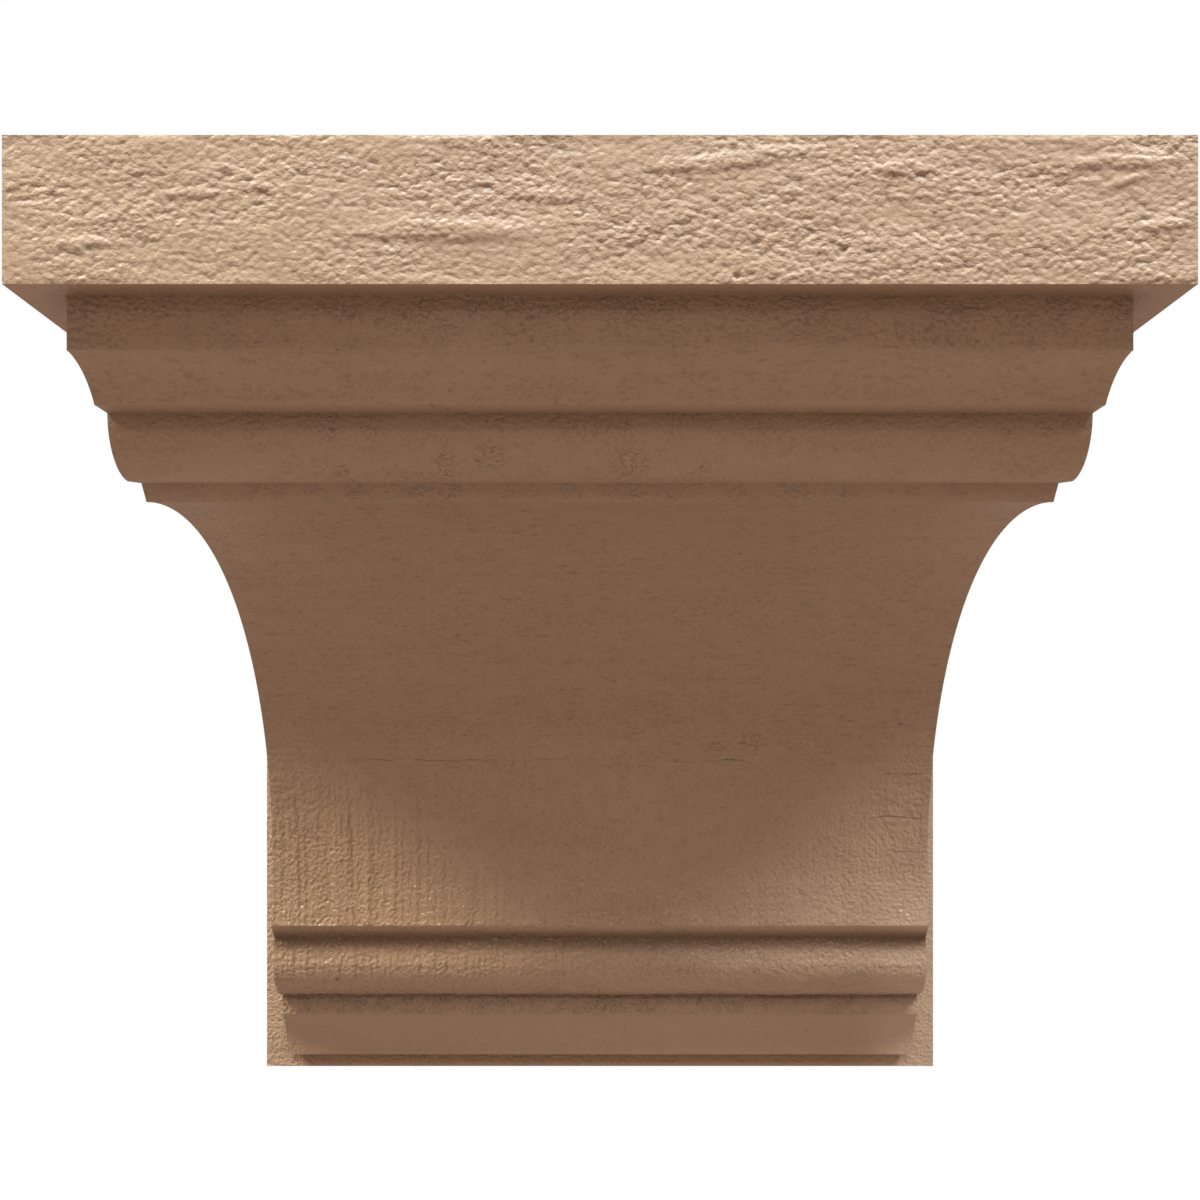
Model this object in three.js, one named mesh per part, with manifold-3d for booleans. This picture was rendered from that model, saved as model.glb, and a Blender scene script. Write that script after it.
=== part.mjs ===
// A cast urethane corbel. A square slab tops it, a plate of the same width backs it, and a
// slightly narrower bracket body fills the corner between the two. One side profile runs the
// whole width of the body: a set of mouldings under the slab, a big cove, and a like set
// turned on its side in front of the plate.
//
// Millimetres, +Z up. The front faces -Y, the back of the plate lies in the plane Y = 0, and
// the origin is the middle of that back.

import * as THREE from 'three';
import { mergeVertices } from 'three/addons/utils/BufferGeometryUtils.js';
import Module from 'manifold-3d';

// Block that the casting fills
const blockWidth = 203.2;
const blockHeight = 203.2;
const blockDepth = 203.2;

// Slab and plate, and how far they stand out past the body
const slabThickness = 25.4;
const plateThickness = 25.4;
const sideReach = 8.6;
const slabFrontReach = 5.9;
const plateFootReach = 5.9;

// Mouldings in the order they come from each end of the body. A drop goes away from the slab
// or the plate, and is the same for both.
const fasciaDrop = 9.5;
const hollowDrop = 6.4;
const hollowSweepDegrees = 48;
const ovoloDrop = 10.8;
const soffitRise = 1.1;
const filletDrop = 3.3;

// A run goes along the slab or the plate towards the big cove. Those by the plate are a
// little longer in all.
const slabHollowRun = 12.6;
const slabLedgeRun = 6.3;
const slabOvoloRun = 10.8;
const slabSoffitRun = 7.7;
const slabFilletRun = 3.0;
const plateHollowRun = 13.5;
const plateLedgeRun = 5.9;
const plateOvoloRun = 10.4;
const plateSoffitRun = 7.3;
const plateFilletRun = 4.1;

// Part of the big cove that lies in front of its crown, and again below its deepest point
const coveLipDegrees = 10;

// Flats that stand for each round stretch
const hollowSteps = 10;
const ovoloSteps = 14;
const coveSteps = 56;

// Vertices closer than this are one vertex
const mergeDistance = 0.001;

const castColor = 0xc0a082;

const wasm = await Module();
wasm.setup();

// Points after the start of a circular arc that sags towards the body between two points.
function hollowArc(start, end, sweepDegrees, steps) {
  const sweep = THREE.MathUtils.degToRad(sweepDegrees);
  const chord = new THREE.Vector2().subVectors(end, start);
  const radius = chord.length() / (2 * Math.sin(sweep / 2));
  const away = new THREE.Vector2(-chord.y, chord.x).normalize();
  const centre = new THREE.Vector2()
    .addVectors(start, end)
    .multiplyScalar(0.5)
    .addScaledVector(away, radius * Math.cos(sweep / 2));
  const spoke = new THREE.Vector2().subVectors(start, centre);
  const points = [];
  for (let step = 1; step <= steps; step += 1) {
    points.push(spoke.clone().rotateAround(new THREE.Vector2(), (sweep * step) / steps).add(centre));
  }
  return points;
}

// Points after the start of a quarter round that leaves along the drop and arrives along the run.
function quarterRound(start, run, drop, steps) {
  const points = [];
  for (let step = 1; step <= steps; step += 1) {
    const angle = (Math.PI / 2) * (step / steps);
    points.push(new THREE.Vector2(start.x + run * (1 - Math.cos(angle)), start.y + drop * Math.sin(angle)));
  }
  return points;
}

// One set of mouldings as (run, drop) points, from an end of the body to the big cove's edge.
function mouldingPoints(runs) {
  const points = [new THREE.Vector2(0, 0), new THREE.Vector2(0, fasciaDrop)];
  const ledgeStart = new THREE.Vector2(runs.hollow, fasciaDrop + hollowDrop);
  points.push(...hollowArc(points[1], ledgeStart, hollowSweepDegrees, hollowSteps));
  const ledgeEnd = new THREE.Vector2(ledgeStart.x + runs.ledge, ledgeStart.y);
  points.push(ledgeEnd);
  points.push(...quarterRound(ledgeEnd, runs.ovolo, ovoloDrop, ovoloSteps));
  const soffitEnd = new THREE.Vector2(
    ledgeEnd.x + runs.ovolo + runs.soffit,
    ledgeEnd.y + ovoloDrop - soffitRise,
  );
  points.push(soffitEnd);
  points.push(new THREE.Vector2(soffitEnd.x + runs.fillet, soffitEnd.y + filletDrop));
  return points;
}

function slabMouldingPoints() {
  return mouldingPoints({
    hollow: slabHollowRun,
    ledge: slabLedgeRun,
    ovolo: slabOvoloRun,
    soffit: slabSoffitRun,
    fillet: slabFilletRun,
  });
}

function plateMouldingPoints() {
  return mouldingPoints({
    hollow: plateHollowRun,
    ledge: plateLedgeRun,
    ovolo: plateOvoloRun,
    soffit: plateSoffitRun,
    fillet: plateFilletRun,
  });
}

// Points between the two edges of the big cove. It is round where both sets of mouldings lie
// equally far from the inner corner, and otherwise an ellipse with the same lips.
function covePoints(upperEdge, lowerEdge, steps) {
  const lip = THREE.MathUtils.degToRad(coveLipDegrees);
  const share = Math.sin(lip) + Math.cos(lip);
  const forwardRadius = (upperEdge.x - lowerEdge.x) / share;
  const downRadius = (lowerEdge.y - upperEdge.y) / share;
  const centreForward = lowerEdge.x + forwardRadius * Math.cos(lip);
  const centreDown = upperEdge.y + downRadius * Math.cos(lip);
  const points = [];
  for (let step = 1; step < steps; step += 1) {
    const angle = -lip + (Math.PI / 2 + 2 * lip) * (step / steps);
    points.push(new THREE.Vector2(
      centreForward - forwardRadius * Math.sin(angle),
      centreDown - downRadius * Math.cos(angle),
    ));
  }
  return points;
}

// Side profile of the body as (forward of the plate, below the slab) points. It runs from the
// fascia down to the foot, and is closed inside the slab and the plate.
function bodyProfile() {
  const bodyReach = blockDepth - plateThickness - slabFrontReach;
  const bodyDrop = blockHeight - slabThickness - plateFootReach;
  const upper = slabMouldingPoints().map((point) => new THREE.Vector2(bodyReach - point.x, point.y));
  const lower = plateMouldingPoints().map((point) => new THREE.Vector2(point.y, bodyDrop - point.x));
  lower.reverse();
  const cove = covePoints(upper[upper.length - 1], lower[0], coveSteps);
  const slabMiddle = -slabThickness / 2;
  const plateMiddle = -plateThickness / 2;
  return [
    new THREE.Vector2(bodyReach, slabMiddle),
    ...upper,
    ...cove,
    ...lower,
    new THREE.Vector2(plateMiddle, bodyDrop),
    new THREE.Vector2(plateMiddle, slabMiddle),
  ];
}

// The profile run across the body's width, standing in its place.
function bodyGeometry() {
  const bodyWidth = blockWidth - 2 * sideReach;
  const outline = bodyProfile().map((point) => new THREE.Vector2(
    plateThickness + point.x,
    blockHeight / 2 - slabThickness - point.y,
  ));
  const geometry = new THREE.ExtrudeGeometry(new THREE.Shape(outline), {
    depth: bodyWidth,
    bevelEnabled: false,
  });
  const placing = new THREE.Matrix4().makeBasis(
    new THREE.Vector3(0, -1, 0),
    new THREE.Vector3(0, 0, 1),
    new THREE.Vector3(-1, 0, 0),
  );
  placing.setPosition(bodyWidth / 2, 0, 0);
  return geometry.applyMatrix4(placing);
}

function slabGeometry() {
  const geometry = new THREE.BoxGeometry(blockWidth, blockDepth, slabThickness);
  return geometry.translate(0, -blockDepth / 2, (blockHeight - slabThickness) / 2);
}

function plateGeometry() {
  const geometry = new THREE.BoxGeometry(blockWidth, plateThickness, blockHeight);
  return geometry.translate(0, -plateThickness / 2, 0);
}

function toSolid(geometry) {
  const bare = geometry.clone();
  bare.deleteAttribute('normal');
  bare.deleteAttribute('uv');
  const merged = mergeVertices(bare, mergeDistance);
  return new wasm.Manifold(new wasm.Mesh({
    numProp: 3,
    vertProperties: new Float32Array(merged.getAttribute('position').array),
    triVerts: new Uint32Array(merged.getIndex().array),
  }));
}

function toGeometry(solid) {
  const mesh = solid.getMesh();
  const geometry = new THREE.BufferGeometry();
  geometry.setAttribute('position', new THREE.BufferAttribute(mesh.vertProperties, 3));
  geometry.setIndex(new THREE.BufferAttribute(mesh.triVerts, 1));
  geometry.computeVertexNormals();
  return geometry;
}

// The corbel leaves its mould in one piece, so slab, plate and body are joined.
function corbelMesh() {
  const solid = toSolid(slabGeometry()).add(toSolid(plateGeometry())).add(toSolid(bodyGeometry()));
  const material = new THREE.MeshStandardMaterial({
    color: castColor,
    roughness: 0.7,
    metalness: 0,
    flatShading: true,
  });
  const mesh = new THREE.Mesh(toGeometry(solid), material);
  mesh.name = 'corbel';
  return mesh;
}

const corbel = new THREE.Group();
corbel.add(corbelMesh());

export default corbel;
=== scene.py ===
import math

import bmesh
import bpy
import numpy as np
from mathutils import Matrix, Vector
from mathutils.geometry import delaunay_2d_cdt
from mathutils.kdtree import KDTree


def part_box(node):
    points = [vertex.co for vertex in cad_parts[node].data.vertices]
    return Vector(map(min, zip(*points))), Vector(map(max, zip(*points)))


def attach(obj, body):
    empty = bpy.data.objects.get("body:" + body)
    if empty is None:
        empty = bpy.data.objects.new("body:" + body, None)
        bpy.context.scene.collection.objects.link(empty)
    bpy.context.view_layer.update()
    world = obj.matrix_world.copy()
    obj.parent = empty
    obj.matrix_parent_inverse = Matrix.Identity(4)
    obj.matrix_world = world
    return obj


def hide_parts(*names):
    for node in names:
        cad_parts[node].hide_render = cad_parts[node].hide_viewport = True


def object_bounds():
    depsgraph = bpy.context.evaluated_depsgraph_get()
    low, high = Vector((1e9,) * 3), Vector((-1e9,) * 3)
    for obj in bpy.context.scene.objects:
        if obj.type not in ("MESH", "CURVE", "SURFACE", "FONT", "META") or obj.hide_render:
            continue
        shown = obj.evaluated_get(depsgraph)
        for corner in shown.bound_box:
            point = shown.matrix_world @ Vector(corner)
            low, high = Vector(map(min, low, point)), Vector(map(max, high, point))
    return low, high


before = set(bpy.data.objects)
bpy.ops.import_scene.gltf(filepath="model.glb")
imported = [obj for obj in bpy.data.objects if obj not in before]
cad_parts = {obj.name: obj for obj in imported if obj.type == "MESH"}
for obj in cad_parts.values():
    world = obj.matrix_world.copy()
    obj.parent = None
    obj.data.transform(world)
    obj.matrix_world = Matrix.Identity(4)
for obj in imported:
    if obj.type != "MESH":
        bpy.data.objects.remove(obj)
cad_low, cad_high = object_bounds()


# The photograph's camera. It stands square to the front and level with the middle of the
# corbel, and its frame is shifted up, which leaves the top slab seen from below without
# any lean in the upright edges.

picture_px = 1200
focal_px = 1315.3
horizon_below_centre_px = 133
sensor_mm = 36
camera_distance = 0.4265

camera_data = bpy.data.cameras.new("Camera")
camera_data.sensor_width = sensor_mm
camera_data.lens = focal_px / picture_px * sensor_mm
camera_data.shift_y = horizon_below_centre_px / picture_px
camera_data.clip_start = 0.01
camera = bpy.data.objects.new("Camera", camera_data)
camera.location = (0, -camera_distance, (cad_low.z + cad_high.z) / 2)
camera.rotation_euler = (math.radians(90), 0, 0)
bpy.context.scene.collection.objects.link(camera)
bpy.context.scene.camera = camera


# The casting. Rigid urethane foam fills a mould taken from rough sawn timber, and the part
# comes out whole: slab, back plate and moulded body in one, with the grain of the timber in
# every face. Its arrises are crisp but a little rubbed.

mm = 0.001
low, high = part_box("corbel")
block_width = high.x - low.x
block_height = high.z - low.z
block_depth = high.y - low.y

slab_thickness = 25.4 * mm
plate_thickness = 25.4 * mm
side_reach = 8.6 * mm
slab_front_reach = 5.9 * mm
plate_foot_reach = 5.9 * mm
fascia_drop = 9.5 * mm
hollow_drop = 6.4 * mm
hollow_sweep = math.radians(48)
ovolo_drop = 10.8 * mm
soffit_rise = 1.1 * mm
fillet_drop = 3.3 * mm
slab_runs = {
    "hollow": 12.6 * mm,
    "ledge": 6.3 * mm,
    "ovolo": 10.8 * mm,
    "soffit": 7.7 * mm,
    "fillet": 3.0 * mm,
}
plate_runs = {
    "hollow": 13.5 * mm,
    "ledge": 5.9 * mm,
    "ovolo": 10.4 * mm,
    "soffit": 7.3 * mm,
    "fillet": 4.1 * mm,
}
cove_lip = math.radians(10)

body_half = block_width / 2 - side_reach
body_reach = block_depth - plate_thickness - slab_front_reach
body_drop = block_height - slab_thickness - plate_foot_reach
slab_reach = block_depth - plate_thickness
plate_drop = block_height - slab_thickness


def line_between(start, end):
    return lambda t: start + np.multiply.outer(t, end - start)


def hollow_between(start, end, sweep):
    """A circular arc that sags away from the slab's open side between two points."""
    chord = end - start
    radius = np.hypot(*chord) / (2 * math.sin(sweep / 2))
    away = np.array([-chord[1], chord[0]]) / np.hypot(*chord)
    centre = (start + end) / 2 + away * radius * math.cos(sweep / 2)
    begin = math.atan2(*(start - centre)[::-1])
    return lambda t: centre + radius * np.stack([np.cos(begin + sweep * t), np.sin(begin + sweep * t)], -1)


def quarter_round(start, run, drop):
    def at(t):
        angle = math.pi / 2 * t
        return start + np.stack([run * (1 - np.cos(angle)), drop * np.sin(angle)], -1)
    return at


def moulding_stretches(runs):
    """The mouldings from an end of the body to the big cove, each a curve of (run, drop)."""
    fascia_top = np.array([0.0, 0.0])
    fascia_end = np.array([0.0, fascia_drop])
    ledge_start = fascia_end + (runs["hollow"], hollow_drop)
    ledge_end = ledge_start + (runs["ledge"], 0)
    soffit_start = ledge_end + (runs["ovolo"], ovolo_drop)
    fillet_start = soffit_start + (runs["soffit"], -soffit_rise)
    fillet_end = fillet_start + (runs["fillet"], fillet_drop)
    return [
        line_between(fascia_top, fascia_end),
        hollow_between(fascia_end, ledge_start, hollow_sweep),
        line_between(ledge_start, ledge_end),
        quarter_round(ledge_end, runs["ovolo"], ovolo_drop),
        line_between(soffit_start, fillet_start),
        line_between(fillet_start, fillet_end),
    ]


def upper_stretch(moulding):
    return lambda t: moulding(t) * (-1, 1) + (body_reach, 0)


def lower_stretch(moulding):
    return lambda t: moulding(1 - t)[..., ::-1] * (1, -1) + (0, body_drop)


def cove_stretch(upper_edge, lower_edge):
    share = math.sin(cove_lip) + math.cos(cove_lip)
    radii = np.array([upper_edge[0] - lower_edge[0], lower_edge[1] - upper_edge[1]]) / share
    centre = np.array([lower_edge[0], upper_edge[1]]) + radii * math.cos(cove_lip)

    def at(t):
        angle = -cove_lip + (math.pi / 2 + 2 * cove_lip) * t
        return centre - radii * np.stack([np.sin(angle), np.cos(angle)], -1)
    return at


# The side profile in order from the fascia to the foot, each stretch a curve of
# (forward of the plate, below the slab).
uppers = [upper_stretch(moulding) for moulding in moulding_stretches(slab_runs)]
lowers = [lower_stretch(moulding) for moulding in reversed(moulding_stretches(plate_runs))]
profile = [*uppers, cove_stretch(uppers[-1](1.0), lowers[0](0.0)), *lowers]

# Spacing of the skin's points. It is finest where the relief is strongest. The slab's front is
# filled while squeezed across, so that its triangles come out longer across than up.
slab_front_spacing = 0.37 * mm
slab_front_squeeze = 0.75
side_spacing = 3.2 * mm
outer_side_spacing = 2.1 * mm
hidden_spacing = 4.5 * mm
strip_spacing = 1.0 * mm
underside_spacing = 1.6 * mm
edge_spacing = 1.4 * mm
profile_spacing = 1.0 * mm
row_height = math.sqrt(0.75)

# Where along a stretch of the profile its spacing starts to change, and over how much of it
ease_start = 0.35
ease_length = 0.25

# An arris is rubbed to this radius, and a first row of points lies the rub width from it. Of
# that row, points much nearer to another arris are left out. Folds under the least angle
# aren't arrises.
arris_radius = 0.12 * mm
rub_width = 0.45 * mm
least_rub_share = 0.9
least_arris = math.radians(12)

# How far the painted shade reaches from an inner corner, and the gap under which points are welded
corner_reach = 6 * mm
weld_gap = 0.002 * mm

# Settings of the triangle filler: keep the triangles inside the outline, and its own least gap
keep_inside = 1
filler_gap = 1e-5


def stations(length, spacing):
    return np.linspace(0, 1, max(1, round(length / spacing)) + 1)


def curve_length(curve):
    steps = curve(np.linspace(0, 1, 200))
    return np.hypot(*np.diff(steps, axis=0).T).sum()


def along(start, end):
    """Points of a straight side, from its start up to but not with its end."""
    start, end = np.array(start, float), np.array(end, float)
    t = stations(np.hypot(*(end - start)), edge_spacing)[:-1]
    return start + np.multiply.outer(t, end - start)


def outline_of(corners):
    next_corners = corners[1:] + corners[:1]
    return np.concatenate([along(start, end) for start, end in zip(corners, next_corners)])


def gap_to(points, outline):
    """How far each point lies from the nearest part of a closed outline."""
    starts = outline
    spans = np.roll(outline, -1, axis=0) - outline
    squares = (spans ** 2).sum(1)
    gaps = []
    for part in np.array_split(points, max(1, len(points) // 4000)):
        from_start = part[:, None] - starts
        t = np.clip((from_start * spans).sum(2) / squares, 0, 1)
        gaps.append(np.hypot(*np.moveaxis(from_start - t[..., None] * spans, 2, 0)).min(1))
    return np.concatenate(gaps)


def inside(points, outline):
    result = np.zeros(len(points), bool)
    for (x0, y0), (x1, y1) in zip(outline, np.roll(outline, -1, axis=0)):
        if y0 != y1:
            crosses = (points[:, 1] >= y0) != (points[:, 1] >= y1)
            result ^= crosses & (points[:, 0] < x0 + (points[:, 1] - y0) * (x1 - x0) / (y1 - y0))
    return result


def filling(outline, spacing_at):
    """Staggered rows of points inside an outline, with a first row close along its sides."""
    low_corner, high_corner = outline.min(0), outline.max(0)
    rows = []
    height = low_corner[1]
    while height < high_corner[1]:
        step = spacing_at(height)
        row = np.arange(low_corner[0] + step * 0.5 * (len(rows) % 2), high_corner[0], step)
        rows.append(np.stack([row, np.full(len(row), height), np.full(len(row), step)], -1))
        height += step * row_height
    points = np.concatenate(rows)
    points = points[inside(points[:, :2], outline)]
    gaps = gap_to(points[:, :2], outline)
    keep = gaps > rub_width + 0.5 * points[:, 2]
    span = np.roll(outline, -1, axis=0) - np.roll(outline, 1, axis=0)
    normal = np.stack([-span[:, 1], span[:, 0]], -1) / np.hypot(*span.T)[:, None]
    rim = np.concatenate([outline + normal * rub_width, outline - normal * rub_width])
    rim = rim[inside(rim, outline)]
    rim_gaps = gap_to(rim, outline)
    near = rim_gaps > least_rub_share * rub_width
    return np.concatenate([points[keep, :2], rim[near]]), np.concatenate([gaps[keep], rim_gaps[near]])


class Skin:
    """Gathers the faces of the casting as triangles.

    Each point keeps its gap to the nearest arris, how strongly pebbles and saw marks show there,
    and whether the mesh is fine enough for the pebbles' own shape."""

    def __init__(self):
        self.points = []
        self.gaps = []
        self.pebbles = []
        self.saw_marks = []
        self.fine = []
        self.triangles = []
        self.count = 0

    def face(self, outline, spacing_at, place, pebbles, saw_marks=0.0, fine=0.0):
        """Fills a flat outline and puts it in space by place(points)."""
        inner, gaps = filling(outline, spacing_at)
        flat = np.concatenate([outline, inner]) / mm
        ring = list(range(len(outline)))
        corners, _, triangles, _, _, _ = delaunay_2d_cdt(
            [Vector(point) for point in flat], [], [ring], keep_inside, filler_gap, False
        )
        if len(corners) != len(flat):
            raise ValueError("a face's points fell together")
        triangles = np.array(triangles)
        within = inside(flat[triangles].mean(1), flat[ring])
        triangles = triangles[within | (triangles >= len(outline)).any(1)]
        self.points.append(place(np.concatenate([outline, inner])))
        self.gaps.append(np.concatenate([np.zeros(len(outline)), gaps]))
        self.pebbles.append(np.full(len(flat), pebbles))
        self.saw_marks.append(np.full(len(flat), saw_marks))
        self.fine.append(np.full(len(flat), fine))
        self.triangles.append(triangles + self.count)
        self.count += len(flat)


def in_space(x, forward, down):
    """A point by its place across, forward of the plate and below the slab."""
    x, forward, down = np.broadcast_arrays(x, forward, down)
    return np.stack([x, high.y - plate_thickness - forward, high.z - slab_thickness - down], -1)


skin = Skin()
half = block_width / 2


def constant(spacing):
    return lambda height: spacing


def eased(first, last, length):
    """Spacing that goes from first to last, in millimetres, on the way along a stretch."""
    def spacing_at(way):
        blend = min(1, max(0, (way / length - ease_start) / ease_length))
        return (first + (last - first) * blend) * mm
    return spacing_at


def rolled_out(length):
    """The outline of a stretch of the body laid flat, as (across, way along the stretch)."""
    across = along((-body_half, 0), (body_half, 0))
    way = stations(length, profile_spacing)[:-1] * length
    right = np.stack([np.full(len(way), body_half), way], -1)
    left = np.stack([np.full(len(way), -body_half), length - way], -1)
    return np.concatenate([across, right, -across + (0, length), left])


def on_stretch(curve, length):
    """Bends a stretch that was laid flat back to its curve."""
    def place(points):
        forward_down = curve(points[:, 1] / length)
        return in_space(points[:, 0], forward_down[:, 0], forward_down[:, 1])
    return place


def side_at(x):
    return lambda points: in_space(x, points[:, 0], points[:, 1])


def upright_at(forward):
    return lambda points: in_space(points[:, 0], forward, points[:, 1])


def level_at(down):
    return lambda points: in_space(points[:, 0], points[:, 1], down)


def band(start, end):
    """A rectangle as wide as the block."""
    return outline_of([(-half, start), (half, start), (half, end), (-half, end)])


def band_round_body(body_end, end):
    """A band that starts in the inner corner of slab and plate, less what the body covers."""
    return outline_of([
        (-half, 0), (-body_half, 0), (-body_half, body_end), (body_half, body_end),
        (body_half, 0), (half, 0), (half, end), (-half, end),
    ])


# Spacing in millimetres at the start and the end of each stretch of the profile, and how
# strongly the pebbles and the saw marks of the timber show there
body_stretches = [
    (0.8, 0.8, 1.15, 0.0),
    (1.3, 1.3, 1.0, 1.0),
    (1.3, 1.3, 0.6, 0.2),
    (0.9, 0.9, 0.9, 0.3),
    (1.6, 1.6, 0.5, 0.2),
    (1.1, 1.1, 0.8, 0.2),
    (2.3, 1.1, 1.0, 1.0),
    (1.0, 1.0, 0.7, 0.2),
    (1.0, 1.0, 1.0, 1.0),
    (0.85, 0.85, 1.1, 1.0),
    (0.9, 0.9, 1.6, 0.0),
    (1.4, 1.4, 0.5, 0.3),
    (2.0, 2.0, 0.6, 0.0),
]

for curve, (first_spacing, last_spacing, pebbles, saw_marks) in zip(profile, body_stretches):
    length = curve_length(curve)
    spacing = eased(first_spacing, last_spacing, length)
    skin.face(rolled_out(length), spacing, on_stretch(curve, length), pebbles, saw_marks)

# Body sides, between the profile and the inner corner of slab and plate
side_outline = np.concatenate([
    *[curve(stations(curve_length(curve), profile_spacing)[:-1]) for curve in profile],
    along((0, body_drop), (0, 0)),
    along((0, 0), (body_reach, 0)),
])
for x in (-body_half, body_half):
    skin.face(side_outline, constant(side_spacing), side_at(x), pebbles=0.9, saw_marks=0.6)

# Slab's underside and plate's front, each round three sides of the body
underside = band_round_body(body_reach, slab_reach)
plate_front = band_round_body(body_drop, plate_drop)
skin.face(underside, constant(underside_spacing), level_at(0), pebbles=0.6)
skin.face(plate_front, constant(strip_spacing), upright_at(0), pebbles=1.0)

# Outer faces of the block
skin.face(
    band(-slab_thickness, 0) * (slab_front_squeeze, 1),
    constant(slab_front_spacing),
    lambda points: in_space(points[:, 0] / slab_front_squeeze, slab_reach, points[:, 1]),
    pebbles=1.0,
    fine=1.0,
)
top = band(-plate_thickness, slab_reach)
back = band(-slab_thickness, plate_drop)
foot = band(-plate_thickness, 0)
outer_side = outline_of([
    (-plate_thickness, -slab_thickness), (slab_reach, -slab_thickness), (slab_reach, 0),
    (0, 0), (0, plate_drop), (-plate_thickness, plate_drop),
])
skin.face(top, constant(hidden_spacing), level_at(-slab_thickness), pebbles=0.5)
skin.face(back, constant(hidden_spacing), upright_at(-plate_thickness), pebbles=0.1)
skin.face(foot, constant(side_spacing), level_at(plate_drop), pebbles=0.8)
for x in (-half, half):
    skin.face(outer_side, constant(outer_side_spacing), side_at(x), pebbles=1.1, saw_marks=0.9)


def skin_mesh(skin, name):
    """The gathered faces welded into one closed mesh, with its arrises rubbed a little round.

    Each point also gets its closeness to an inner corner, near which shade is painted."""
    mesh = bpy.data.meshes.new(name)
    points = np.concatenate(skin.points)
    mesh.from_pydata(points.tolist(), [], np.concatenate(skin.triangles).tolist())
    labelled = {
        "arris_gap": skin.gaps,
        "pebbles": skin.pebbles,
        "saw_marks": skin.saw_marks,
        "fine_mesh": skin.fine,
    }
    for label, parts in labelled.items():
        mesh.attributes.new(label, "FLOAT", "POINT").data.foreach_set("value", np.concatenate(parts))
    work = bmesh.new()
    work.from_mesh(mesh)
    closeness = work.verts.layers.float.new("corner_closeness")
    bmesh.ops.remove_doubles(work, verts=work.verts, dist=weld_gap)
    bmesh.ops.recalc_face_normals(work, faces=work.faces)
    work.normal_update()
    rubbed = {}
    corners = []
    for edge in work.edges:
        angle = edge.calc_face_angle_signed()
        if angle > least_arris:
            for vertex in edge.verts:
                rubbed.setdefault(vertex, []).append(arris_radius * (1 / math.cos(angle / 2) - 1))
        elif angle < -least_arris:
            corners.append((edge.verts[0].co + edge.verts[1].co) / 2)
    tree = KDTree(len(corners))
    for number, corner in enumerate(corners):
        tree.insert(corner, number)
    tree.balance()
    for vertex in work.verts:
        vertex[closeness] = max(0.0, 1 - tree.find(vertex.co)[2] / corner_reach)
    for vertex, offsets in rubbed.items():
        vertex.co -= vertex.normal * sum(offsets) / len(offsets)
    for face in work.faces:
        face.smooth = True
    for edge in work.edges:
        edge.smooth = abs(edge.calc_face_angle_signed()) < least_arris
    work.to_mesh(mesh)
    work.free()
    return mesh


# Numbers of a Mix node's two colour inputs and its colour output
mix_first = 6
mix_second = 7
mix_result = 2


class Wire:
    """The output of a node. Arithmetic on it adds Math nodes to the tree that it is in."""

    def __init__(self, tree, socket):
        self.tree = tree
        self.socket = socket

    def node(self, kind, settings=(), inputs=(), output=0):
        """Adds a node, sets it up, feeds its inputs by name or number, and returns one output."""
        return add_node(self.tree, kind, settings, inputs, output)

    def math(self, operation, *values, clamp=False):
        settings = {"operation": operation, "use_clamp": clamp}
        return self.node("ShaderNodeMath", settings, dict(enumerate(values)))

    def vector(self, operation, *values):
        inputs = dict(enumerate((self, *values)))
        return self.node("ShaderNodeVectorMath", {"operation": operation}, inputs)

    def __add__(self, other):
        return self.math("ADD", self, other)

    def __radd__(self, other):
        return self.math("ADD", other, self)

    def __sub__(self, other):
        return self.math("SUBTRACT", self, other)

    def __rsub__(self, other):
        return self.math("SUBTRACT", other, self)

    def __mul__(self, other):
        return self.math("MULTIPLY", self, other)

    def __rmul__(self, other):
        return self.math("MULTIPLY", other, self)

    def __truediv__(self, other):
        return self.math("DIVIDE", self, other)

    def __abs__(self):
        return self.math("ABSOLUTE", self)

    def ramp(self, start, end, first=0.0, last=1.0):
        """Goes smoothly from first to last as this value goes from start to end."""
        return self.node(
            "ShaderNodeMapRange",
            {"interpolation_type": "SMOOTHSTEP"},
            {"Value": self, "From Min": start, "From Max": end, "To Min": first, "To Max": last},
        )

    def axis(self, number):
        return self.node("ShaderNodeSeparateXYZ", (), {0: self}, number)

    def mix_colour(self, share, first, second):
        """Goes from the first colour to the second as share goes from 0 to 1."""
        ends = [colour if isinstance(colour, Wire) else (*colour, 1) for colour in (first, second)]
        inputs = {0: share, mix_first: ends[0], mix_second: ends[1]}
        return self.node("ShaderNodeMix", {"data_type": "RGBA"}, inputs, mix_result)


def add_node(tree, kind, settings=(), inputs=(), output=0):
    made = tree.nodes.new(kind)
    for name, value in dict(settings).items():
        setattr(made, name, value)
    for name, value in dict(inputs).items():
        socket = made.inputs[name]
        if isinstance(value, Wire):
            tree.links.new(value.socket, socket)
        else:
            socket.default_value = value
    return Wire(tree, made.outputs[output])


# Noise swings by about 0.4 round its middle, which the gain brings to about 1.
noise_middle = 0.5
noise_gain = 2.6
grain_top = 0.3


def in_lumps(at, lengths_mm, seed):
    """Place counted in lumps of these lengths along X, Y and Z, and moved by the seed."""
    per_metre = [1000 / length for length in lengths_mm]
    return at.vector("MULTIPLY_ADD", per_metre, (seed, 1.7 * seed, -2.3 * seed))


def cloud(at, lengths_mm, seed, detail=0.0):
    """Soft noise from about -1 to 1, with lumps of these lengths."""
    noise = at.node(
        "ShaderNodeTexNoise",
        {"noise_dimensions": "3D"},
        {"Vector": in_lumps(at, lengths_mm, seed), "Scale": 1.0, "Detail": detail},
    )
    return (noise - noise_middle) * noise_gain


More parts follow.
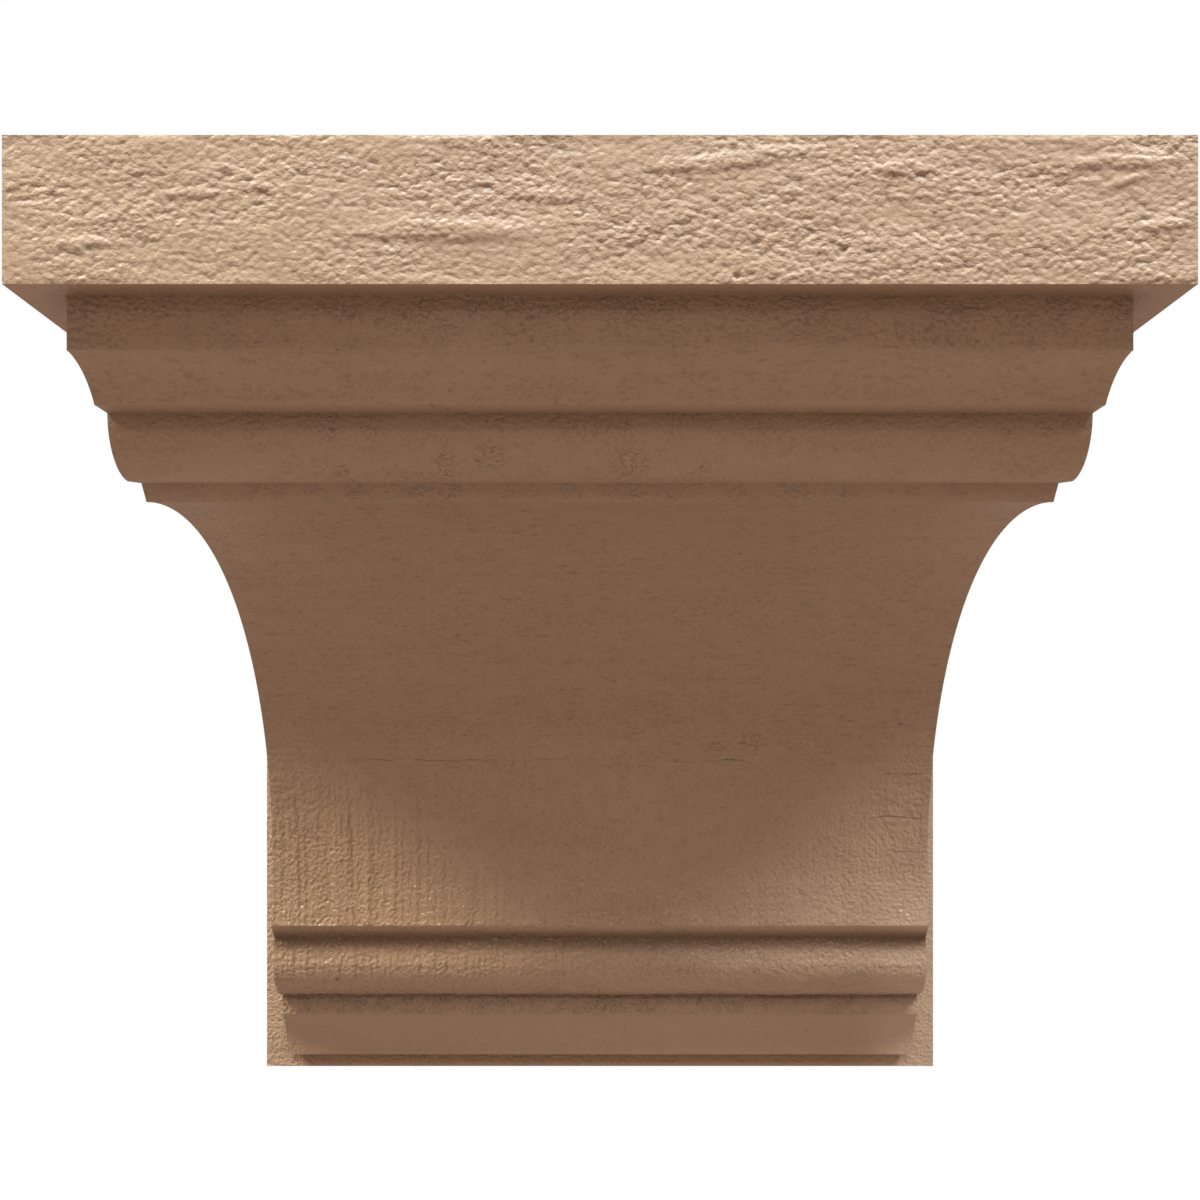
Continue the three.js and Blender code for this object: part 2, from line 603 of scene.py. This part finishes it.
def cell_distance(placed):
    """Distance to the middle of the nearest cell."""
    inputs = {"Vector": placed, "Scale": 1.0}
    return placed.node("ShaderNodeTexVoronoi", {"feature": "F1"}, inputs, "Distance")


def grains(at, lengths_mm, seed):
    """Round grains pressed together, from about 0.3 on their tops to about -0.4 between them."""
    distance = cell_distance(in_lumps(at, lengths_mm, seed))
    return grain_top - distance * distance


def named(at, label):
    """Reads a number kept on the mesh, in the relief's tree or in the material's."""
    if at.tree.type == "GEOMETRY":
        return at.node("GeometryNodeInputNamedAttribute", {"data_type": "FLOAT"}, {"Name": label})
    return at.node("ShaderNodeAttribute", {"attribute_name": label}, (), "Fac")


def lower_share(at):
    """1 on the lower part of the front, where the grain stands upright, and 0 above."""
    return at.axis(2).ramp(0.0, -32 * mm)


def sawn_above(at):
    """How strongly the level saw marks show, which end where the grain stands upright."""
    return named(at, "saw_marks") * (1 - lower_share(at))


def pebble_share(at):
    """How strongly the pebbles show. Sawn stretches are smooth, but for the foot of the big cove."""
    smooth = sawn_above(at) * 0.35
    patches = cloud(at, (22, 22, 9), seed=51.7, detail=1.0).ramp(-0.7, 0.7, -0.42, 0.3)
    to_left = at.axis(0).ramp(35 * mm, -35 * mm, -0.05, 0.3) * lower_share(at)
    return named(at, "pebbles") * (1 - smooth + to_left) * (1 + patches * (1 - lower_share(at)))


# Marks on the slab's front in millimetres: across, up, half the length, half the width, height,
# and the rise for each millimetre across
slab_marks = [
    (-26, 85.4, 21, 2.2, 0.28, 0.0),
    (22, 97.2, 19, 1.9, 0.24, 0.10),
    (51, 96.0, 7, 1.4, 0.22, 0.0),
    (88, 97.0, 14, 1.7, 0.24, 0.02),
    (96, 86.4, 5, 1.4, 0.28, 0.05),
    (89, 93.2, 5, 1.0, 0.20, 0.35),
    (-88, 83.4, 8, 1.3, 0.20, 0.05),
    (-69, 91.6, 6, 1.1, 0.18, 0.05),
    (-57.6, 92.8, 2, 1.0, 0.20, 0.0),
    (-8, 91.0, 9, 1.6, 0.16, -0.10),
    (23.3, 77.4, 0.9, 0.8, -0.4, 0.0),
    (41, 81.6, 1.6, 0.9, -0.28, 0.9),
]


def oval(across, up, x, z, half_length, half_width, rise=0.0):
    """0 in the middle of an oval mark, 1 on its rim and more outside it."""
    along_it = (across - x) / half_length
    over_it = (up - z - (across - x) * rise) / half_width
    return along_it * along_it + over_it * over_it


def marks_height(at):
    """Height in millimetres of the slab's own ridges and pits, which only its front has."""
    bend = cloud(at, (9, 9, 9), seed=71.9, detail=1.0) * 0.9
    across = at.axis(0) / mm
    up = at.axis(2) / mm + bend
    on_front = at.axis(1).ramp(low.y + 2 * mm, low.y + 1 * mm)
    total = 0.0
    for x, z, half_length, half_width, height, rise in slab_marks:
        mark = oval(across, up, x, z, half_length, half_width, rise).ramp(1.0, 0.0)
        total = total + mark * height
    return total * on_front


# Places on the mouldings and the big cove where small cracks crowd, in millimetres: across, up,
# reach across, reach up
cracked_places = [
    (-29.6, 52.0, 3.0, 2.5),
    (-21.0, 53.0, 5.0, 2.8),
    (6.0, 52.0, 5.0, 3.0),
    (-50.0, 49.5, 2.5, 3.0),
    (-34.0, 49.0, 8.0, 2.0),
    (32.0, -3.9, 4.0, 2.5),
    (41.6, -2.4, 5.0, 3.5),
    (23.5, -67.8, 11.0, 1.6),
    (42.4, -67.8, 4.0, 1.5),
    (73.0, -69.0, 7.0, 1.5),
    (86.0, -11.0, 8.0, 1.2),
    (88.0, -23.0, 6.0, 1.6),
]

# Long cracks and small pits, in millimetres: across, up, half the length, half the width, and
# the rise for each millimetre across. No two of the cracks show at one point.
long_cracks = [
    (26.7, -7.8, 18.0, 0.26, 0.01),
    (-40.0, -7.6, 44.0, 0.16, 0.0),
    (-86.0, -27.5, 9.0, 0.30, 0.02),
    (84.0, -11.5, 9.0, 0.26, 0.0),
    (84.0, -24.0, 10.0, 0.30, -0.02),
    (87.0, -33.5, 6.0, 0.24, -0.03),
    (-98.0, -90.2, 6.0, 0.45, 0.05),
    (-97.0, -96.4, 5.0, 0.40, -0.05),
]
small_pits = [
    (29.1, -78.2, 1.3, 0.8, 1.6),
    (-75.0, -70.3, 0.8, 0.6, 0.0),
]

# How far from a long crack, in millimetres, the height over it is kept
crack_reach = 3.0


def ahead_of_back(at):
    """0 on the back and 1 from a little behind the plate's front forwards."""
    return at.axis(1).ramp(-12 * mm, -22 * mm)


def mark_strength(at):
    """How deep and dark the creases and small cracks are, in scattered patches."""
    across = at.axis(0) / mm
    up = at.axis(2) / mm
    cracked = cloud(at, (8, 8, 5), seed=61.3, detail=1.5).ramp(0.42, 0.70)
    for x, z, reach_across, reach_up in cracked_places:
        place = oval(across, up, x, z, reach_across, reach_up).ramp(1.0, 0.3)
        cracked = cracked + place * ahead_of_back(at)
    creased = cloud(at, (5, 5, 4), seed=87.1).ramp(-0.3, 0.4) * named(at, "pebbles")
    # Near inner corners the creases are deeper, and darker with painted shade.
    by_corner = named(at, "corner_closeness").ramp(0.0, 0.8, 0.45, 0.9)
    return at.math("MAXIMUM", cracked * 0.9, creased * by_corner) * (1 - 0.7 * named(at, "fine_mesh"))


def crack_fields(at):
    """How high each point lies over the long crack near it, in half widths of the crack, and
    how much of the crack is there."""
    bend = cloud(at, (6, 6, 6), seed=71.9, detail=1.0) * 0.8
    breaks = cloud(at, (7, 7, 5), seed=23.9, detail=1.0).ramp(-0.25, 0.35, 0.2, 1.0) * ahead_of_back(at)
    across = at.axis(0) / mm
    up = at.axis(2) / mm
    gap = 0.0
    share = 0.0
    for x, z, half_length, half_width, rise in long_cracks:
        over_it = up - z - (across - x) * rise
        beside_it = abs(across - x) - half_length
        within = at.math("LESS_THAN", at.math("MAXIMUM", abs(over_it), beside_it), crack_reach)
        gap = gap + (over_it + bend) / half_width * within
        share = share + abs(over_it).ramp(1.5, 0.9) * beside_it.ramp(0.0, -0.5 * half_length)
    return gap, share * breaks


# Heights in millimetres of the parts of the relief, first of those in the mesh
wave_height = 0.2
lump_height = 0.08
rough_height = 0.095
slab_pebble_height = 0.115
line_height = 0.03
upright_height = 0.16
pebble_height = 0.14
grit_height = 0.14
fine_line_height = 0.05
crease_depth = 0.06

specks_per_metre = (120, 120, 170)


def pebble_grains(at):
    return grains(at, (1.3, 1.3, 1.05), seed=5.3)


def body_relief(at):
    """Height of the timber's pebbles in millimetres, as far as the mesh carries them."""
    lumps = cloud(at, (2.8, 2.8, 2.1), seed=7.7) * lump_height
    rough = cloud(at, (1.1, 1.1, 0.85), seed=11.3, detail=1.0) * rough_height
    pebbles = rough + pebble_grains(at) * slab_pebble_height
    return (lumps + pebbles * named(at, "fine_mesh")) * pebble_share(at)


def timber_relief(at):
    """Height in millimetres of all the relief that is in the mesh."""
    sawn = named(at, "saw_marks")
    waves = cloud(at, (20, 20, 8), seed=3.1, detail=0.5) * wave_height * named(at, "pebbles")
    lines = cloud(at, (40, 40, 1.6), seed=29.3) * line_height * sawn
    upright = cloud(at, (3.6, 30, 40), seed=17.9) * upright_height * lower_share(at) * sawn
    return waves + body_relief(at) + marks_height(at) + lines + upright


def with_grain(at):
    """Place along the timber's grain. Down the lower part it goes by slower, which draws the
    pebbles out upright."""
    slower = 1 - lower_share(at) * 0.3
    return at.vector("MULTIPLY", at.node("ShaderNodeCombineXYZ", (), {0: 1.0, 1: 1.0, 2: slower}))


def fine_relief(at):
    """Height in millimetres of what is too fine for the mesh."""
    on_slab = named(at, "fine_mesh")
    pebbles = pebble_grains(at) * (pebble_height - 0.02 * on_slab)
    grit_strength = grit_height - 0.06 * on_slab + 0.04 * lower_share(at)
    grit = cloud(with_grain(at), (0.95, 0.95, 0.8), seed=31.1, detail=1.0) * grit_strength
    lines = cloud(at, (26, 26, 0.8), seed=41.9) * fine_line_height * sawn_above(at)
    return (pebbles + grit) * named(at, "pebble_share") + lines


def grooves(at):
    """Depth in millimetres of the upright grooves of the sawn foot of the big cove."""
    depth = at.axis(0).ramp(30 * mm, -30 * mm, 0.07, 0.26)
    return cloud(at, (1.5, 30, 40), seed=19.3) * depth * lower_share(at) * named(at, "saw_marks")


def scuff_share(at):
    """1 in the short dark lines that lie along the sawn stretches, and 0 elsewhere."""
    return cloud(at, (2.6, 2.6, 0.6), seed=57.1, detail=1.0).ramp(0.1, 0.8) * sawn_above(at)


def crease_share(at):
    """1 in creases and cracks where they are deepest, and 0 elsewhere."""
    lines = abs(cloud(at, (1.5, 1.5, 0.9), seed=83.9, detail=1.0)).ramp(0.10, 0.0)
    cracks = abs(named(at, "crack_gap")).ramp(1.0, 0.4) * named(at, "crack_share")
    return lines * named(at, "mark_strength") + cracks


def pit_share(at):
    """1 in the small pits, and 0 elsewhere."""
    across = at.axis(0) / mm
    up = at.axis(2) / mm
    total = 0.0
    for x, z, half_length, half_width, rise in small_pits:
        total = total + oval(across, up, x, z, half_length, half_width, rise).ramp(1.0, 0.2)
    return total


def speck_share(at):
    """1 in a few tiny dark pits, and 0 elsewhere."""
    distance = cell_distance(at.vector("MULTIPLY", specks_per_metre))
    return distance.ramp(0.055, 0.02) * named(at, "speck_patches")


# The relief fades out this close to an arris.
calm_width = 1.0 * mm


def relief_tree(material):
    tree = bpy.data.node_groups.new("Timber relief", "GeometryNodeTree")
    tree.interface.new_socket("Geometry", in_out="INPUT", socket_type="NodeSocketGeometry")
    depth = tree.interface.new_socket("Relief depth", in_out="INPUT", socket_type="NodeSocketFloat")
    depth.default_value = 1.0
    tree.interface.new_socket("Geometry", in_out="OUTPUT", socket_type="NodeSocketGeometry")
    entry = tree.nodes.new("NodeGroupInput")
    geometry = Wire(tree, entry.outputs["Geometry"])
    share = Wire(tree, entry.outputs["Relief depth"])
    at = add_node(tree, "GeometryNodeInputPosition")
    crack_gap, crack_share = crack_fields(at)
    olive = cloud(at, (28, 28, 12), seed=91.7, detail=2.0).ramp(0.2, 0.8, 0.0, 0.6)
    kept = {
        "pebble_share": pebble_share(at),
        "pebble_height": body_relief(at),
        "mark_strength": mark_strength(at),
        "crack_gap": crack_gap,
        "crack_share": crack_share,
        "speck_patches": cloud(at, (17, 17, 13), seed=73.3).ramp(0.1, 0.25),
        "mottle": cloud(at, (30, 30, 9), seed=41.3, detail=3.0).ramp(-1, 1),
        "olive": olive * (1 - named(at, "fine_mesh")),
    }
    for label, value in kept.items():
        geometry = at.node(
            "GeometryNodeStoreNamedAttribute",
            {"data_type": "FLOAT", "domain": "POINT"},
            {"Geometry": geometry, "Name": label, "Value": value},
        )
    height = timber_relief(at) * mm * share * named(at, "arris_gap").ramp(0.0, calm_width)
    offset = at.node("GeometryNodeInputNormal").vector("SCALE")
    tree.links.new(height.socket, offset.socket.node.inputs["Scale"])
    moved = at.node("GeometryNodeSetPosition", (), {"Geometry": geometry, "Offset": offset})
    whole = at.node("GeometryNodeRealizeInstances", (), {"Geometry": moved})
    painted = at.node("GeometryNodeSetMaterial", (), {"Geometry": whole, "Material": material})
    leave = tree.nodes.new("NodeGroupOutput")
    tree.links.new(painted.socket, leave.inputs["Geometry"])
    return tree


tan = (0.50, 0.345, 0.230)
deeper_tan = (0.475, 0.325, 0.213)
olive_tan = (0.462, 0.334, 0.211)
painted_light_tan = (0.60, 0.44, 0.31)
pit_shade_brown = (0.25, 0.16, 0.095)
corner_shade_brown = (0.19, 0.113, 0.065)
crease_shade_and_speck_brown = (0.115, 0.082, 0.048)


def shade_and_speck_share(at, creases):
    """How much dark brown shows: painted shade in creases and cracks, and dark specks, scuffs and small
    pits.
    """
    spots = at.math("MAXIMUM", speck_share(at) * 0.6, scuff_share(at) * 0.3)
    return at.math("MAXIMUM", (creases + pit_share(at)) * 0.62, spots, clamp=True)


def painted_light_share(at, on_body):
    """How much painted light pales the colour: on the plate's strips low down, and as a painted highlight
    at the right end of the foot.
    """
    to_right = at.axis(0).ramp(-half, half, 0.4, 1.0)
    painted_light_strip = (1 - on_body) * lower_share(at) * to_right * ahead_of_back(at)
    painted_highlight_end = at.axis(0).ramp(72 * mm, 90 * mm) * at.axis(2).ramp(-34 * mm, -52 * mm, 0.0, 0.8)
    return at.math("MAXIMUM", painted_light_strip, painted_highlight_end * on_body)


def tan_finish():
    """Factory tan on cast foam: nearly matt and a little uneven, with painted shade in its pits, creases
    and corners and painted light low on the front.
    """
    material = bpy.data.materials.new("Tan cast finish")
    material.use_nodes = True
    tree = material.node_tree
    tree.nodes.clear()
    at = add_node(tree, "ShaderNodeTexCoord", (), (), "Object")
    fine = fine_relief(at)
    creases = crease_share(at)
    height = (fine - creases * crease_depth - grooves(at)) * mm
    bump = at.node("ShaderNodeBump", (), {"Strength": 1.0, "Distance": 1.0, "Height": height})

    on_slab = named(at, "fine_mesh")
    on_body = abs(at.axis(0)).ramp(body_half + 1 * mm, body_half)
    # Painted shade: pits in the relief are darkened, most on the slab and least low on the front.
    pit_shade_strength = 0.5 + 0.3 * on_slab - 0.26 * lower_share(at)
    pits = (fine + named(at, "pebble_height") * 0.7 * on_slab).ramp(0.03, -0.22) * pit_shade_strength
    # Painted shade near inner corners, strongest at the lip of the foot.
    lip_shade = lower_share(at) * on_body * at.axis(2).ramp(-64 * mm, -80 * mm, 0.74, 0.24)
    corner = named(at, "corner_closeness").ramp(0.15, 0.9) * (0.26 + lip_shade)

    colour = at.mix_colour(named(at, "mottle"), tan, deeper_tan)
    colour = at.mix_colour(named(at, "olive"), colour, olive_tan)
    colour = at.mix_colour(pits, colour, pit_shade_brown)
    # Painted shade in creases and cracks, with the dark specks, scuffs and small pits.
    colour = at.mix_colour(shade_and_speck_share(at, creases), colour, crease_shade_and_speck_brown)
    # Painted light: paler strips low on the plate, and a painted highlight at the right end of the foot.
    colour = at.mix_colour(painted_light_share(at, on_body), colour, painted_light_tan)
    colour = at.mix_colour(corner, colour, corner_shade_brown)
    roughness = named(at, "mottle").ramp(0.0, 1.0, 0.4, 0.5) - 0.15 * lower_share(at)
    shader = at.node(
        "ShaderNodeBsdfPrincipled",
        (),
        {"Base Color": colour, "Roughness": roughness, "Normal": bump, "Metallic": 0.0},
    )
    out = tree.nodes.new("ShaderNodeOutputMaterial")
    tree.links.new(shader.socket, out.inputs["Surface"])
    return material


finish_material = tan_finish()
casting = bpy.data.objects.new("corbel_casting", skin_mesh(skin, "corbel_casting"))
bpy.context.scene.collection.objects.link(casting)
relief = casting.modifiers.new("Relief", "NODES")
relief.node_group = relief_tree(finish_material)
bpy.context.view_layer.update()
evaluated = casting.evaluated_get(bpy.context.evaluated_depsgraph_get())
finished = bpy.data.meshes.new_from_object(evaluated)
casting.modifiers.remove(relief)
casting.data = finished

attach(casting, "root")
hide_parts("corbel")


# Studio. A pale floor lies well below and fades into white. Soft lamps stand high on the left,
# on the right and above, a weak spot lights the corbel's foot from the front, and even light
# comes from all round, most of it from below.

floor_drop = 0.45
floor_radius = 4.0
floor_pool = 0.35
floor_fade = 0.8

floor_mesh = bpy.data.meshes.new("floor")
floor_work = bmesh.new()
bmesh.ops.create_circle(floor_work, cap_ends=True, segments=96, radius=floor_radius)
floor_work.to_mesh(floor_mesh)
floor_work.free()
floor_mesh.transform(Matrix.Translation((0, 0, -floor_drop)))
floor = bpy.data.objects.new("floor", floor_mesh)
bpy.context.scene.collection.objects.link(floor)
floor.visible_diffuse = False
floor.visible_glossy = False
floor.visible_shadow = False

floor_material = bpy.data.materials.new("Pale floor")
floor_material.use_nodes = True
floor_tree = floor_material.node_tree
floor_tree.nodes.clear()
floor_at = add_node(floor_tree, "ShaderNodeTexCoord", (), (), "Object")
flat_at = floor_at.vector("MULTIPLY", (1, 1, 0))
floor_distance = floor_at.node("ShaderNodeVectorMath", {"operation": "LENGTH"}, {0: flat_at}, "Value")
lit = floor_at.node("ShaderNodeBsdfDiffuse", (), {"Color": (0.8, 0.8, 0.8, 1)})
glow = floor_at.node("ShaderNodeEmission", (), {"Color": (1, 1, 1, 1), "Strength": 1.0})
faded = floor_at.node(
    "ShaderNodeMixShader", (), {0: floor_distance.ramp(floor_pool, floor_fade), 1: lit, 2: glow}
)
floor_out = floor_tree.nodes.new("ShaderNodeOutputMaterial")
floor_tree.links.new(faded.socket, floor_out.inputs["Surface"])
floor_mesh.materials.append(floor_material)

room_colour = (0.373, 0.288, 0.247, 1)
room_level = 0.935
room_fall = 0.42

world = bpy.data.worlds.new("Studio")
world.use_nodes = True
bpy.context.scene.world = world
world_tree = world.node_tree
world_tree.nodes.clear()
seen = add_node(world_tree, "ShaderNodeLightPath", (), (), "Is Camera Ray")
white = seen.node("ShaderNodeBackground", (), {"Color": (1, 1, 1, 1), "Strength": 1.0})
upward = add_node(world_tree, "ShaderNodeTexCoord", (), (), "Generated").axis(2)
room_strength = room_level - upward * room_fall
room = seen.node("ShaderNodeBackground", (), {"Color": room_colour, "Strength": room_strength})
around = seen.node("ShaderNodeMixShader", (), {0: seen, 1: room, 2: white})
world_out = world_tree.nodes.new("ShaderNodeOutputWorld")
world_tree.links.new(around.socket, world_out.inputs["Surface"])

bpy.context.scene.view_settings.view_transform = "Standard"


lamp_distance = 1.2
lamp_aim = Vector((0, -0.1, 0))


def lamp(name, direction, size, colour, power):
    data = bpy.data.lights.new(name, "AREA")
    data.shape = "DISK"
    data.size = size
    data.energy = power
    data.color = colour
    lamp_object = bpy.data.objects.new(name, data)
    direction = Vector(direction).normalized()
    lamp_object.location = lamp_aim + direction * lamp_distance
    lamp_object.rotation_mode = "QUATERNION"
    lamp_object.rotation_quaternion = direction.to_track_quat("Z", "Y")
    bpy.context.scene.collection.objects.link(lamp_object)


lamp("Left lamp", (-0.80, -0.42, 1.04), size=0.45, colour=(1.0, 0.90, 0.72), power=14.2)
lamp("Right lamp", (0.64, -0.50, 1.04), size=0.45, colour=(0.87, 0.88, 0.89), power=12.4)
lamp("Top lamp", (-0.10, -0.40, 0.90), size=0.3, colour=(0.77, 1.04, 1.23), power=9.2)

# The low spot is drawn out sideways, and reaches the foot of the corbel alone.
spot_place = Vector((0, -1.1, 0.45))
spot_aim = Vector((0, -0.03, -0.115))
spot_stretch = 1.55

spot_data = bpy.data.lights.new("Low spot", "SPOT")
spot_data.energy = 8
spot_data.color = (1.0, 0.95, 0.90)
spot_data.spot_size = math.radians(11)
spot_data.spot_blend = 1.0
spot_data.shadow_soft_size = 0.05
spot = bpy.data.objects.new("Low spot", spot_data)
spot.location = spot_place
spot.scale = (spot_stretch, 1, 1)
spot.rotation_mode = "QUATERNION"
spot.rotation_quaternion = (spot_place - spot_aim).to_track_quat("Z", "Y")
bpy.context.scene.collection.objects.link(spot)
